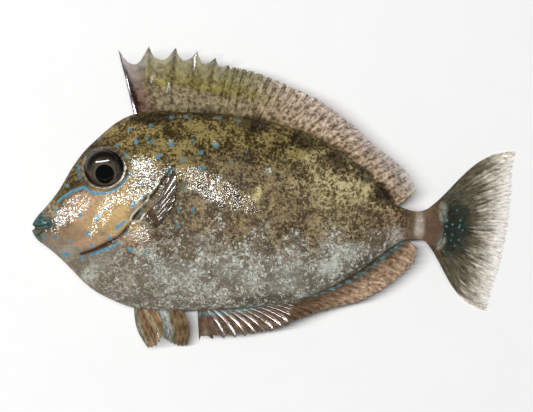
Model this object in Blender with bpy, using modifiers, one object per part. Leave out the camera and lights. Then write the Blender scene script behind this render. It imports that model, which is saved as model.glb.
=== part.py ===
"""A young bignose unicornfish, 82 mm long, lying on its right side as a still, life-size model.

The head points to -X, the back to +Y and the left flank up, to +Z. The floor is at z = 0, and the origin is
below the middle of the fish. Every fin is a thin sheet with its rays and spines raised in its own surface.
"""

import math

import bmesh
import bpy
import numpy as np
from mathutils import Vector

MM = 0.001

# Outline of the flesh in the middle plane, from the snout to the base of the tail fin: (x, y) in mm.
SNOUT_X = -41.4
FLESH_END_X = 27.4
SNOUT_ROUNDING = 1.6
BACK_LINE = (
    (-41.4, -3.9), (-39.8, -2.6), (-38.4, -1.0), (-37.0, 0.8), (-34.1, 5.6), (-32.2, 8.0), (-30.3, 9.8),
    (-26.8, 12.7), (-23.6, 14.1), (-16.0, 14.3), (-10.0, 14.0), (-4.5, 13.4), (0.0, 12.4), (4.5, 11.0),
    (9.0, 8.8), (13.0, 6.0), (16.8, 2.4), (19.2, -0.6), (21.2, -1.8), (24.6, -2.45), (27.4, -1.1),
)
BELLY_LINE = (
    (-41.4, -7.0), (-39.9, -7.8), (-38.0, -9.2), (-34.9, -12.1), (-33.2, -13.9), (-31.4, -15.5),
    (-28.0, -17.4), (-24.0, -18.9), (-15.9, -19.2), (-5.0, -18.9), (0.0, -18.3), (4.0, -17.4), (7.5, -16.1),
    (11.0, -14.4), (14.5, -12.2), (18.0, -9.6), (20.6, -7.9), (23.2, -7.2), (25.4, -7.7), (27.4, -9.2),
)
# Half of the body's thickness at its widest height.
HALF_WIDTH = (
    (-41.4, 1.25), (-39.8, 1.8), (-37.0, 2.4), (-34.0, 3.05), (-31.0, 3.75), (-28.0, 4.45), (-24.0, 5.15),
    (-19.0, 5.6), (-13.0, 5.75), (-6.0, 5.4), (1.0, 4.7), (8.0, 3.75), (14.0, 2.75), (19.0, 1.95),
    (23.0, 1.5), (25.0, 1.35), (27.4, 1.1),
)
SECTION_POWER = 2.15
WIDEST_HEIGHT = 0.04

# How the fish lies: its middle plane stands this high, and the tail sinks towards the floor.
MIDDLE_HEIGHT = 5.25
SINK_START_X = 8.0
TAIL_SINK = 1.2

# Rear edge of the gill cover, which also parts the head from the trunk.
GILL_EDGE = (
    (-25.6, 16.8), (-24.6, 14.0), (-21.4, 10.8), (-18.6, 7.6), (-17.1, 5.2), (-19.0, 3.1), (-20.9, 0.4),
    (-22.8, -2.0), (-24.5, -4.3), (-26.4, -6.6), (-29.2, -8.3), (-31.2, -9.2), (-33.1, -9.9),
    (-34.8, -11.8), (-36.4, -14.2),
)
GILL_CORNER = 4
GILL_FOOT = 12
GILL_COVER_RISE = 0.4
GILL_COVER_REACH = 3.6
STALK_X = 18.3

EYE_CENTRE = (-28.9, 4.6)
EYE_RADII = (3.3, 3.05, 2.1)
EYE_BULGE = 0.75
EYE_RIM_RISE = 0.3
EYE_RIM_WIDTH = 0.55

MOUTH_CORNER = (-38.2, -4.9)
MOUTH_LINE = ((-41.9, -5.35), (-39.9, -5.2), MOUTH_CORNER)
MOUTH_GAPE = 0.55
LIP_RISE = 0.35
LIP_WIDTH = 1.0
NOSTRILS = ((-34.0, 3.4, 0.36), (-33.1, 4.2, 0.27))

KEELS_X = (20.1, 24.0)
KEEL_LENGTH = 0.9
KEEL_HEIGHT = 0.35
KEEL_RISE = 0.3

GAP = 0.3
WEB_THICK = 0.5
FAR = 60.0

# Spines and soft rays of each fin. A dorsal spine is the x of its root on the back, then its tip's x and y.
DORSAL_SPINES = (
    (-24.0, -26.7, 24.75), (-21.5, -21.6, 25.73), (-18.4, -17.0, 25.4), (-15.4, -13.4, 24.7),
    (-12.7, -10.3, 23.6), (-10.2, -8.0, 22.5),
)
DORSAL_RAYS = 27
ANAL_LEAN = 1.25
ANAL_SPINES = 2
ANAL_RAYS = 28
CAUDAL_RAYS = 17
PECTORAL_RAYS = 16
PELVIC_RAYS = 4

SKIN = (0.235, 0.190, 0.120)
CHEEK = (0.480, 0.350, 0.190)
STALK = (0.220, 0.160, 0.130)
EYE = (0.035, 0.028, 0.024)
DORSAL = (0.400, 0.330, 0.170)
ANAL = (0.420, 0.240, 0.130)
CAUDAL = (0.480, 0.450, 0.400)
PAIRED = (0.330, 0.240, 0.130)


def clear_scene():
    for obj in list(bpy.data.objects):
        bpy.data.objects.remove(obj, do_unlink=True)


def new_collection(name):
    collection = bpy.data.collections.new(name)
    bpy.context.scene.collection.children.link(collection)
    return collection


def material(name, colour, roughness):
    made = bpy.data.materials.new(name)
    made.use_nodes = True
    shader = made.node_tree.nodes["Principled BSDF"]
    shader.inputs["Base Color"].default_value = (*colour, 1.0)
    shader.inputs["Roughness"].default_value = roughness
    shader.inputs["Metallic"].default_value = 0.0
    return made


def add_object(name, mesh, collection, finish=None):
    obj = bpy.data.objects.new(name, mesh)
    collection.objects.link(obj)
    if finish:
        mesh.materials.append(finish)
    return obj


def add_cutter(name, mesh, collection):
    obj = add_object(name, mesh, collection)
    obj.hide_render = True
    obj.display_type = "WIRE"
    return obj


def cut(obj, cutter):
    modifier = obj.modifiers.new("cut_" + cutter.name, "BOOLEAN")
    modifier.operation = "DIFFERENCE"
    modifier.solver = "EXACT"
    modifier.object = cutter


def smooth(share):
    share = min(1.0, max(0.0, share))
    return share * share * (3.0 - 2.0 * share)


def hump(distance, width):
    return math.exp(-((distance / width) ** 2))


def height_along(points):
    """A smooth function of x through the points."""
    xs = np.array([p[0] for p in points])
    ys = np.array([p[1] for p in points])
    slopes = np.gradient(ys, xs)

    def height(x):
        x = min(max(x, xs[0]), xs[-1])
        i = min(int(np.searchsorted(xs, x, side="right")) - 1, len(xs) - 2)
        step = xs[i + 1] - xs[i]
        t = (x - xs[i]) / step
        bend = (slopes[i] * (1 - t) - slopes[i + 1] * t) * step
        return ys[i] + (ys[i + 1] - ys[i]) * smooth(t) + t * (1 - t) * bend

    return height


def path_along(points, even=False):
    """A smooth path through the points, as a function of the share of its length. With even set, each
    step from point to point takes the same share instead."""
    knots = np.array(points, float)
    lengths = np.concatenate([[0.0], np.cumsum(np.linalg.norm(np.diff(knots, axis=0), axis=1))])
    shares = np.linspace(0.0, 1.0, len(knots)) if even else lengths / lengths[-1]
    across = [height_along(list(zip(shares, knots[:, axis]))) for axis in (0, 1)]

    def place(share):
        return np.array([across[0](share), across[1](share)])

    return place


def offset_line(points, distance):
    """The open line moved sideways, to the left of its direction."""
    line = np.array(points, float)
    steps = np.diff(line, axis=0)
    steps /= np.linalg.norm(steps, axis=1)[:, None]
    sides = np.column_stack([-steps[:, 1], steps[:, 0]])
    moved = []
    for i, point in enumerate(line):
        before, after = sides[max(i - 1, 0)], sides[min(i, len(sides) - 1)]
        middle = before + after
        moved.append(point + distance * 2.0 * middle / middle.dot(middle))
    return moved


back_y = height_along(BACK_LINE)
belly_y = height_along(BELLY_LINE)
half_width = height_along(HALF_WIDTH)


def section(x):
    """Widest height, rise above it, fall below it and half width of the body at x."""
    top, bottom, width = back_y(x), belly_y(x), half_width(x)
    centre = 0.5 * (top + bottom) + WIDEST_HEIGHT * (top - bottom)
    ahead = min(1.0, (x - SNOUT_X) / SNOUT_ROUNDING)
    blunt = math.sqrt(max(0.0, 1.0 - (1.0 - ahead) ** 2))
    return centre, (top - centre) * blunt, (centre - bottom) * blunt, width * blunt


def middle_z(x):
    past = max(0.0, (x - SINK_START_X) / (FLESH_END_X - SINK_START_X))
    return MIDDLE_HEIGHT - TAIL_SINK * past * past


def side_z(x, y):
    """How far the flank stands from the middle plane at (x, y)."""
    centre, rise, fall, width = section(x)
    share = (y - centre) / (rise if y > centre else fall)
    return width * max(0.0, 1.0 - abs(share) ** SECTION_POWER) ** (1.0 / SECTION_POWER)


def distance_to_line(x, y, points):
    """Distance from (x, y) to the line, and on which side of it the point lies: + to its left."""
    best, side = 1e9, 1.0
    for (ax, ay), (bx, by) in zip(points, points[1:]):
        dx, dy = bx - ax, by - ay
        share = ((x - ax) * dx + (y - ay) * dy) / (dx * dx + dy * dy)
        share = min(1.0, max(0.0, share))
        away = math.hypot(x - ax - share * dx, y - ay - share * dy)
        if away < best:
            best = away
            side = 1.0 if dx * (y - ay) - dy * (x - ax) > 0 else -1.0
    return best, side


def gill_cover_rise(x, y):
    away, _ = distance_to_line(x, y, GILL_EDGE[GILL_CORNER : GILL_FOOT + 1])
    return GILL_COVER_RISE * (1.0 - smooth(away / GILL_COVER_REACH))


def eye_rim_rise(x, y):
    reach = math.hypot((x - EYE_CENTRE[0]) / EYE_RADII[0], (y - EYE_CENTRE[1]) / EYE_RADII[1])
    return EYE_RIM_RISE * hump((reach - 1.1) * EYE_RADII[0], EYE_RIM_WIDTH)


def lip_rise(x, y):
    away, _ = distance_to_line(x, y, MOUTH_LINE)
    return LIP_RISE * hump(away - 0.7, LIP_WIDTH)


def keel_rise(x, y):
    centre = section(x)[0]
    return sum(
        KEEL_RISE * hump(x - keel_x, KEEL_LENGTH) * hump(y - centre, KEEL_HEIGHT) for keel_x in KEELS_X
    )


def body_mesh(name, start_x, end_x, rings, around, *rises):
    """The body from start_x to end_x, shaped from a sphere with its poles on the X axis."""
    bm = bmesh.new()
    bmesh.ops.create_uvsphere(bm, u_segments=around, v_segments=rings, radius=1.0)
    for vert in bm.verts:
        along, turn_y, turn_z = -vert.co.z, vert.co.y, vert.co.x
        ring = round(math.acos(max(-1.0, min(1.0, -along))) / math.pi * rings)
        share = min(1.0, max(0.0, (ring - 1) / (rings - 2)))
        if start_x == SNOUT_X:
            share = share**1.35
        x = start_x + (end_x - start_x) * share
        if start_x == SNOUT_X:
            x += 0.04 * (ring == 1)
        centre, rise, fall, width = section(x)
        turn = math.atan2(turn_y, turn_z)
        up, out = math.sin(turn), math.cos(turn)
        y, z = centre, 0.0
        if 0 < ring < rings:
            y += (rise if up > 0 else fall) * math.copysign(abs(up) ** (2 / SECTION_POWER), up)
            z = width * math.copysign(abs(out) ** (2 / SECTION_POWER), out)
            swell = sum(rise_at(x, y) for rise_at in rises) * min(1.0, 1.6 * abs(out))
            z += math.copysign(swell, z)
        vert.co = Vector((x, y, middle_z(x) + z)) * MM
    bmesh.ops.recalc_face_normals(bm, faces=bm.faces)
    mesh = bpy.data.meshes.new(name)
    bm.to_mesh(mesh)
    bm.free()
    mesh.shade_smooth()
    return mesh


def prism_mesh(name, outline, low, high):
    """A flat outline as a filled 2D curve, given its thickness and made a mesh."""
    curve = bpy.data.curves.new(name, "CURVE")
    curve.dimensions = "2D"
    curve.fill_mode = "BOTH"
    curve.extrude = 0.5 * (high - low) * MM
    spline = curve.splines.new("POLY")
    spline.points.add(len(outline) - 1)
    spline.use_cyclic_u = True
    for point, (x, y) in zip(spline.points, outline):
        point.co = (x * MM, y * MM, 0.0, 1.0)
    guide = bpy.data.objects.new(name + "_outline", curve)
    bpy.context.scene.collection.objects.link(guide)
    graph = bpy.context.evaluated_depsgraph_get()
    mesh = bpy.data.meshes.new_from_object(guide.evaluated_get(graph))
    bpy.data.objects.remove(guide)
    bm = bmesh.new()
    bm.from_mesh(mesh)
    bmesh.ops.remove_doubles(bm, verts=bm.verts, dist=1e-6)
    for vert in bm.verts:
        vert.co.z += 0.5 * (low + high) * MM
    bmesh.ops.recalc_face_normals(bm, faces=bm.faces)
    bm.to_mesh(mesh)
    bm.free()
    return mesh


def box_outline(left, right):
    return [(left, -FAR), (right, -FAR), (right, FAR), (left, FAR)]


def ellipsoid_mesh(name, centre, radii, around, rings):
    bm = bmesh.new()
    bmesh.ops.create_uvsphere(bm, u_segments=around, v_segments=rings, radius=1.0)
    for vert in bm.verts:
        vert.co = Vector([(c + v * r) * MM for c, v, r in zip(centre, vert.co, radii)])
    mesh = bpy.data.meshes.new(name)
    bm.to_mesh(mesh)
    bm.free()
    mesh.shade_smooth()
    return mesh


def fin(name, sheet, collection, finish):
    """A fin as one thin sheet, thicker along each ray. sheet holds its sizes:
    base and margin paths, rays, columns between rays, rows, thickness at the root and tip of a ray,
    how deep the margin dips between rays, and z, its middle height as a function of x, y and share."""
    columns = (sheet["rays"] - 1) * sheet["split"]
    thickest = sheet["root"]
    bm = bmesh.new()
    bmesh.ops.create_grid(bm, x_segments=columns, y_segments=sheet["rows"], size=0.5)
    weights = {}
    for vert in bm.verts:
        column = round((vert.co.x + 0.5) * columns)
        out = vert.co.y + 0.5
        along = column / columns
        between = (column % sheet["split"]) / sheet["split"]
        web = 1.0 - abs(2.0 * between - 1.0)
        reach = out * (1.0 - sheet["dip"](along) * web)
        root, tip = sheet["base"](along), sheet["margin"](along)
        place = root * (1.0 - reach) + tip * reach
        ray = tip - root
        place = place + np.array([-ray[1], ray[0]]) * sheet["bow"](along) * 4.0 * reach * (1.0 - reach)
        ridge = (1.0 - web) ** sheet["sharp"]
        full = sheet["root"] + (sheet["tip"] - sheet["root"]) * reach
        vert.co = Vector((place[0], place[1], sheet["z"](place[0], place[1], reach))) * MM
        weights[vert.index] = (WEB_THICK + (full - WEB_THICK) * ridge) / thickest
    bmesh.ops.triangulate(bm, faces=bm.faces)
    bmesh.ops.recalc_face_normals(bm, faces=bm.faces)
    mesh = bpy.data.meshes.new(name)
    bm.to_mesh(mesh)
    bm.free()
    mesh.shade_smooth()
    obj = add_object(name, mesh, collection, finish)
    group = obj.vertex_groups.new(name="thickness")
    for index, weight in weights.items():
        group.add([index], weight, "REPLACE")
    shell = obj.modifiers.new("thickness", "SOLIDIFY")
    shell.thickness = thickest * MM
    shell.offset = 0.0
    shell.vertex_group = "thickness"
    return obj


def straight(_along):
    return 0.0


def fin_root(line, xs, outward, even=False):
    """A fin's base along the flesh's outline, kept the usual gap outside it."""
    return path_along(offset_line([(x, line(x)) for x in xs], outward * GAP), even)


def droop(amount):
    """The height of a fin in the middle plane whose margin hangs lower by amount."""

    def height(x, _y, share):
        return middle_z(x) - amount * share**1.3

    return height


def build_body(parts, cutters):
    skin = material("skin", SKIN, 0.35)
    cheek = material("cheek", CHEEK, 0.35)
    stalk_skin = material("tail_stalk", STALK, 0.4)

    above, below = GILL_EDGE[0][0], GILL_EDGE[-1][0]
    head_side = [(below, -FAR), (-FAR, -FAR), (-FAR, FAR), (above, FAR)]
    trunk_side = [(below, -FAR), (FAR, -FAR), (FAR, FAR), (above, FAR)]
    not_trunk = prism_mesh("ahead_of_gills", offset_line(GILL_EDGE, GAP) + head_side, -20.0, 30.0)
    not_head = prism_mesh("behind_gills", list(GILL_EDGE) + trunk_side, -20.0, 30.0)
    ahead = add_cutter("ahead_of_gills", not_trunk, cutters)
    behind = add_cutter("behind_gills", not_head, cutters)
    floor = add_cutter("floor", prism_mesh("floor", box_outline(-FAR, FAR), -9.0, 0.0), cutters)
    tail_box = box_outline(STALK_X - 0.5 * GAP, FAR)
    front_box = box_outline(-FAR, STALK_X + 0.5 * GAP)
    past_trunk = add_cutter("past_trunk", prism_mesh("past_trunk", tail_box, -20.0, 30.0), cutters)
    before_stalk = add_cutter("before_stalk", prism_mesh("before_stalk", front_box, -20.0, 30.0), cutters)

    head_shape = body_mesh("head", SNOUT_X, -12.0, 32, 40, gill_cover_rise, eye_rim_rise, lip_rise)
    head = add_object("head", head_shape, parts, cheek)
    cut(head, behind)
    cut(head, floor)
    mouth = offset_line(MOUTH_LINE, 0.12)
    mouth += [(x, y - 0.24 - (MOUTH_GAPE if i else 0.0)) for i, (x, y) in enumerate(reversed(mouth))]
    cut(head, add_cutter("mouth", prism_mesh("mouth", mouth, -20.0, 30.0), cutters))

    for side, name in ((1.0, "left"), (-1.0, "right")):
        x, y = EYE_CENTRE
        depth = side_z(x, y) + EYE_BULGE - EYE_RADII[2]
        centre = (x, y, middle_z(x) + side * depth)
        eye = ellipsoid_mesh("eye_" + name, centre, EYE_RADII, 24, 14)
        add_object("eye_" + name, eye, parts, material("eye_" + name, EYE, 0.08))
        socket = ellipsoid_mesh("socket_" + name, centre, [r + GAP for r in EYE_RADII], 24, 14)
        cut(head, add_cutter("socket_" + name, socket, cutters))
        for i, (nx, ny, radius) in enumerate(NOSTRILS):
            pit = (nx, ny, middle_z(nx) + side * side_z(nx, ny))
            label = f"nostril_{name}_{i}"
            cut(head, add_cutter(label, ellipsoid_mesh(label, pit, [radius] * 3, 8, 6), cutters))

    trunk = add_object("trunk", body_mesh("trunk", -38.0, 24.0, 46, 36), parts, skin)
    cut(trunk, ahead)
    cut(trunk, past_trunk)
    cut(trunk, floor)
    stalk_shape = body_mesh("tail_stalk", 16.0, FLESH_END_X, 20, 28, keel_rise)
    stalk = add_object("tail_stalk", stalk_shape, parts, stalk_skin)
    cut(stalk, before_stalk)
    return trunk, floor


def build_middle_fins(parts, floor):
    dorsal = material("dorsal_fin", DORSAL, 0.35)
    fin("dorsal_fin_spiny", {
        "base": fin_root(back_y, [x for x, _, _ in DORSAL_SPINES], 1.0, even=True),
        "margin": path_along([(x, y) for _, x, y in DORSAL_SPINES], even=True),
        "rays": len(DORSAL_SPINES), "split": 4, "rows": 9, "root": 1.15, "tip": 0.45, "sharp": 1.6,
        "dip": lambda along: 0.17 - 0.11 * along,
        "bow": straight,
        "z": droop(0.9),
    }, parts, dorsal)
    soft_margin = path_along([(-7.5, 22.2), (-4.0, 21.3), (2.1, 18.9), (7.4, 16.3), (12.8, 12.3), (17.6, 8.0),
                              (21.6, 4.8), (23.3, 2.6), (23.9, 0.8)])
    fin("dorsal_fin_soft", {
        "base": fin_root(back_y, np.linspace(-9.8, 19.8, 18), 1.0),
        "margin": soft_margin,
        "rays": DORSAL_RAYS, "split": 2, "rows": 6, "root": 0.85, "tip": 0.55, "sharp": 1.0,
        "dip": lambda along: 0.05,
        "bow": straight,
        "z": droop(1.4),
    }, parts, dorsal)

    anal_base = fin_root(belly_y, np.linspace(-13.4, 21.2, 20), -1.0)
    anal_margin = path_along([(-13.1, -24.4), (-8.8, -24.2), (-4.6, -23.7), (0.3, -22.5), (4.9, -20.5),
                              (9.7, -18.9), (14.5, -17.8), (18.0, -15.9), (21.5, -13.3), (23.6, -10.9),
                              (23.9, -8.8)])
    fin("anal_fin", {
        "base": lambda along: anal_base(along**ANAL_LEAN),
        "margin": anal_margin,
        "rays": ANAL_SPINES + ANAL_RAYS, "split": 2, "rows": 5, "root": 0.85, "tip": 0.55, "sharp": 1.0,
        "dip": lambda along: 0.16 - 0.13 * smooth(3.0 * along),
        "bow": straight,
        "z": droop(1.0),
    }, parts, material("anal_fin", ANAL, 0.35))

    root_z = middle_z(FLESH_END_X)

    def tail_height(_x, _y, share):
        return root_z - (root_z - 0.22) * smooth(share / 0.86)

    caudal_margin = path_along([(36.2, -19.7), (38.0, -13.9), (39.6, -7.0), (40.3, -1.0), (40.8, 4.4),
                                (41.38, 7.7)])
    caudal = fin("caudal_fin", {
        "base": path_along([(27.7, -9.3), (27.75, -5.2), (27.7, -1.0)]),
        "margin": caudal_margin,
        "rays": CAUDAL_RAYS, "split": 2, "rows": 9, "root": 0.95, "tip": 0.55, "sharp": 1.0,
        "dip": lambda along: 0.03,
        "bow": lambda along: 0.13 * (2.0 * along - 1.0) ** 3,
        "z": tail_height,
    }, parts, material("caudal_fin", CAUDAL, 0.4))
    cut(caudal, floor)


def build_paired_fins(parts, cutters, trunk):
    paired = material("paired_fins", PAIRED, 0.35)
    base = [(-20.2, -5.2), (-21.4, -4.3), (-22.2, -3.1)]
    margin = [(-17.5, -3.4), (-16.4, -1.4), (-16.0, 1.0), (-16.2, 3.3), (-17.0, 5.0)]
    pectoral = {
        "base": path_along(base), "margin": path_along(margin),
        "rays": PECTORAL_RAYS, "split": 2, "rows": 6, "root": 0.75, "tip": 0.55, "sharp": 1.0,
        "dip": lambda along: 0.04, "bow": straight,
    }
    half = 0.5 * pectoral["root"]

    def on_left(x, y, share):
        return middle_z(x) + side_z(x, y) + GAP + half + 0.25 * share

    def on_right(x, y, _share):
        return max(half, middle_z(x) - side_z(x, y) - GAP - half)

    fin("pectoral_fin_left", {**pectoral, "z": on_left}, parts, paired)
    fin("pectoral_fin_right", {**pectoral, "z": on_right}, parts, paired)
    ring = [tuple(pectoral["base"](t)) for t in np.linspace(1.0, 0.0, 6)]
    ring += [tuple(pectoral["margin"](t)) for t in np.linspace(0.0, 1.0, 14)]
    centre = np.mean(ring, axis=0)
    grown = [tuple(centre + (np.array(p) - centre) * (1.0 + 2.0 * GAP / math.dist(p, centre))) for p in ring]
    pocket = prism_mesh("fin_pocket", grown, -9.0, pectoral["root"] + GAP)
    cut(trunk, add_cutter("fin_pocket", pocket, cutters))

    pelvic = {
        "rays": PELVIC_RAYS, "split": 4, "rows": 6, "root": 0.9, "tip": 0.5, "sharp": 1.4,
        "dip": lambda along: 0.07, "bow": straight,
    }
    for name, side, hang, base, margin in (
        ("pelvic_fin_left", 1.0, 0.5, [(-23.4, -19.25), (-21.2, -19.4)],
         [(-21.5, -25.7), (-20.4, -25.4), (-19.7, -24.4)]),
        ("pelvic_fin_right", -1.0, 2.6, [(-21.4, -19.3), (-18.8, -19.45), (-16.2, -19.5)],
         [(-18.8, -24.2), (-17.0, -25.5), (-15.4, -25.75)]),
    ):
        def splayed(x, _y, share, side=side, hang=hang):
            return middle_z(x) + side * 0.75 - hang * share

        shape = {**pelvic, "base": path_along(base), "margin": path_along(margin), "z": splayed}
        fin(name, shape, parts, paired)


def main():
    clear_scene()
    parts = new_collection("unicornfish")
    cutters = new_collection("cutters")
    trunk, floor = build_body(parts, cutters)
    build_middle_fins(parts, floor)
    build_paired_fins(parts, cutters, trunk)


main()
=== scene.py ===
import math

import bpy
import numpy as np
from mathutils import Matrix, Vector


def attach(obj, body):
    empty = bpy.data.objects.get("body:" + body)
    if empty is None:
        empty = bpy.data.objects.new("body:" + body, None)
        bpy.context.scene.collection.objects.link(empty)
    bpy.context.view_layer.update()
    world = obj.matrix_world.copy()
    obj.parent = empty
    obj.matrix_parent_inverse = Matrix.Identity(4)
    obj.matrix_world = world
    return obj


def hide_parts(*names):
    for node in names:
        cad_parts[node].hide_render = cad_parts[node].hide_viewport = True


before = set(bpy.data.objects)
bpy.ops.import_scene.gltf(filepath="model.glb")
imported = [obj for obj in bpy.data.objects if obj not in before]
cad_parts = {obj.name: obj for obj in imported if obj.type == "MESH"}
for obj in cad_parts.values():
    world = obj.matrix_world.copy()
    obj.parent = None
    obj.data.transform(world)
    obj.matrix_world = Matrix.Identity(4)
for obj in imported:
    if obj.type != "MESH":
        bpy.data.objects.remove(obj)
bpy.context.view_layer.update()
mm = 0.001
print("frame loaded")


def startFresh():
    if bpy.context.mode != "OBJECT":
        bpy.ops.object.mode_set(mode="OBJECT")
    bpy.ops.object.select_all(action="DESELECT")


def pick(obj):
    startFresh()
    obj.select_set(True)
    bpy.context.view_layer.objects.active = obj


def faceOutwards(obj):
    pick(obj)
    bpy.ops.object.mode_set(mode="EDIT")
    bpy.ops.mesh.select_all(action="SELECT")
    bpy.ops.mesh.normals_make_consistent(inside=False)
    bpy.ops.object.mode_set(mode="OBJECT")


# Curves and falloffs, all on arrays

def smooth(share):
    share = np.clip(share, 0, 1)
    return share * share * (3 - 2 * share)


def bell(distance, width):
    return np.exp(-((distance / width) ** 2))


def curveThrough(points):
    xs, ys = np.array(points, float).T
    slopes = np.gradient(ys, xs)

    def at(x):
        x = np.clip(x, xs[0], xs[-1])
        i = np.clip(np.searchsorted(xs, x, side="right") - 1, 0, len(xs) - 2)
        step = xs[i + 1] - xs[i]
        t = (x - xs[i]) / step
        bend = ((1 - t) * slopes[i] - t * slopes[i + 1]) * step
        return ys[i] + (ys[i + 1] - ys[i]) * t * t * (3 - 2 * t) + t * (1 - t) * bend

    return at


def pathThrough(points):
    knots = np.array(points, float)
    lengths = np.concatenate([[0], np.cumsum(np.linalg.norm(np.diff(knots, axis=0), axis=1))])
    shares = lengths / lengths[-1]
    alongX, alongY = (curveThrough(np.column_stack([shares, values])) for values in knots.T)
    return lambda share: np.stack([alongX(share), alongY(share)], axis=-1)


# Distance to an open line, its side (+1 on the left), and how far along it the nearest point is
def lineDistance(x, y, line):
    best = np.full(np.shape(x), 1e9)
    side = np.ones(np.shape(x))
    place = np.zeros(np.shape(x))
    count = len(line) - 1
    for i, ((ax, ay), (bx, by)) in enumerate(zip(line, line[1:])):
        dx, dy = bx - ax, by - ay
        share = np.clip(((x - ax) * dx + (y - ay) * dy) / (dx * dx + dy * dy), 0, 1)
        away = np.hypot(x - ax - share * dx, y - ay - share * dy)
        nearer = away < best
        best = np.where(nearer, away, best)
        side = np.where(nearer, np.where(dx * (y - ay) - dy * (x - ax) > 0, 1, -1), side)
        place = np.where(nearer, (i + share) / count, place)
    return best, side, place


# 1 on an open line, falling off on both sides of it
def nearLine(x, y, line, width):
    return bell(lineDistance(x, y, line)[0], width)


# Distance from the middle of a leaning oval, 1 at its edge
def leaned(x, y, cx, cy, longHalf, wideHalf, lean):
    turn = math.radians(lean)
    u = (x - cx) * math.cos(turn) + (y - cy) * math.sin(turn)
    v = -(x - cx) * math.sin(turn) + (y - cy) * math.cos(turn)
    return np.hypot(u / longHalf, v / wideHalf)


# The body's form, as the solids have it, in mm

body = dict(
    snoutX=-41.4, endX=28.5, snoutRounding=1.6, tailRounding=2.7,
    back=((-41.4, -3.9), (-39.8, -2.6), (-38.4, -1), (-37, 0.8), (-34.1, 5.6), (-32.2, 8),
          (-30.3, 9.8), (-26.8, 12.7), (-23.6, 14.1), (-16, 14.3), (-10, 14), (-4.5, 13.4),
          (0, 12.4), (4.5, 11), (9, 8.8), (13, 6), (16.8, 2.4), (19.2, -0.6), (21.2, -1.8),
          (24.6, -2.45), (27.4, -1.1), (28.5, -0.6)),
    belly=((-41.4, -7), (-39.9, -7.8), (-38, -9.2), (-34.9, -12.1), (-33.2, -13.9), (-31.4, -15.5),
           (-28, -17.4), (-24, -18.9), (-15.9, -19.2), (-5, -18.9), (0, -18.3), (4, -17.4),
           (7.5, -16.1), (11, -14.4), (14.5, -12.2), (18, -9.6), (20.6, -7.9), (23.2, -7.2),
           (25.4, -7.7), (27.4, -9.2), (28.5, -10.2)),
    halfWidth=((-41.4, 1.25), (-39.8, 1.8), (-37, 2.4), (-34, 3.05), (-31, 3.75), (-28, 4.45),
               (-24, 5.15), (-19, 5.6), (-13, 5.75), (-6, 5.4), (1, 4.7), (8, 3.75),
               (14, 2.75), (19, 1.95), (23, 1.5), (25, 1.35), (27.4, 0.9), (28.5, 0.6)),
    power=2.15, widest=0.04, middleHeight=5.25, sinkStartX=8, fleshEndX=27.4, tailSink=1.2,
    leftSteps=168, rightSteps=72, rings=404, ringShares=(0, 0.03, 0.16, 0.6, 0.95, 1),
    ringXs=(-41.398, -41.15, -39, -15.5, 26.6, 28.5), settleBelow=0.5, clearance=0.03,
)
backLine = curveThrough(body["back"])
bellyLine = curveThrough(body["belly"])
halfWidth = curveThrough(body["halfWidth"])

gill = dict(
    edge=((-25.6, 16.8), (-24.6, 14), (-21.4, 10.8), (-18.6, 7.6), (-17.2, 5.2), (-19, 2.7),
          (-20.5, 0.5), (-21.7, -0.3), (-22.8, -1.9), (-24.5, -4.4), (-25.2, -5.6), (-26.5, -7),
          (-27.7, -7.6), (-29.2, -8.35), (-30.7, -9.1), (-32.8, -9.7)),
    corner=4, rise=0.42, reach=3.2, edgeWidth=0.22,
    flap=((-21.8, -1.2), (-22.6, -2), (-23.9, -3.3), (-24.5, -4), (-24.3, -4.6), (-23.6, -4.5),
          (-22.4, -3.4), (-21.9, -2)),
    rim=((-19.6, 2.2), (-21.3, 0.2), (-21.5, -0.5), (-22.8, -1.8), (-24, -3), (-24.4, -3.8),
         (-24, -4.4), (-22.7, -3.95), (-22, -2.9)),
    slit=((-24.8, -5), (-25.6, -6.1), (-26.6, -7), (-27.8, -7.65), (-29.3, -8.4), (-30.8, -9.1),
          (-32.8, -9.65)),
    slitDepth=0.75, hollow=(-23.3, -3.2), hollowDepth=0.3, hollowWidth=0.55,
)
gillOpening = gill["edge"][gill["corner"]:]

eye = dict(
    centre=(-28.85, 4.7), radii=(3.35, 3.1, 1.65), meanRadius=3.2, bulge=0.75, pupil=(-28.75, 3.75),
    pupilRadius=1.6,
    skinRings=((1.07, 0.3, 0.5), (1.3, -0.12, 0.22), (1.42, 0.07, 0.3)),  # place, rise, width
    socket=1.7, tilt=14.5, swing=4,
)
mouth = dict(
    line=((-42.2, -5.25), (-39.9, -5.3), (-39, -5.1), (-38.1, -4.95)),
    underLip=((-39.1, -5.7), (-39.7, -6.2), (-40.2, -6.6)),
    crease=((-38.05, -3.6), (-37.5, -4.5), (-37.25, -5.8)), cornerX=-37.9, lipRise=0.42,
    lipWidth=0.75, notchY=-5.27, notchX=0.6, notchWidth=0.3,
)
shoulder = dict(line=((-20.3, -4.6), (-19.9, -6.6), (-19.8, -9.2)), rise=0.26, reach=2.2, topY=-3.2)
cheekBands = dict(area=(-31.2, -2.6, 5.2, 3.6, 42), middle=(-32.9, -1.9), spacing=3.05, rise=0.035)
nostrils = ((-34, 3.4, 0.34), (-33.1, 4.2, 0.26))
keels = dict(xs=(20.1, 24), length=0.9, height=0.35, rise=0.3)

# Plates and swellings that turn a little towards the lamp: oval, the y they turn about, slope
facets = ((-22.6, 3.7, 6.2, 4.6, -5, 0.4, 0.12), (-14.6, 3.2, 4.4, 2.8, -28, 1.6, 0.08))

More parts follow.
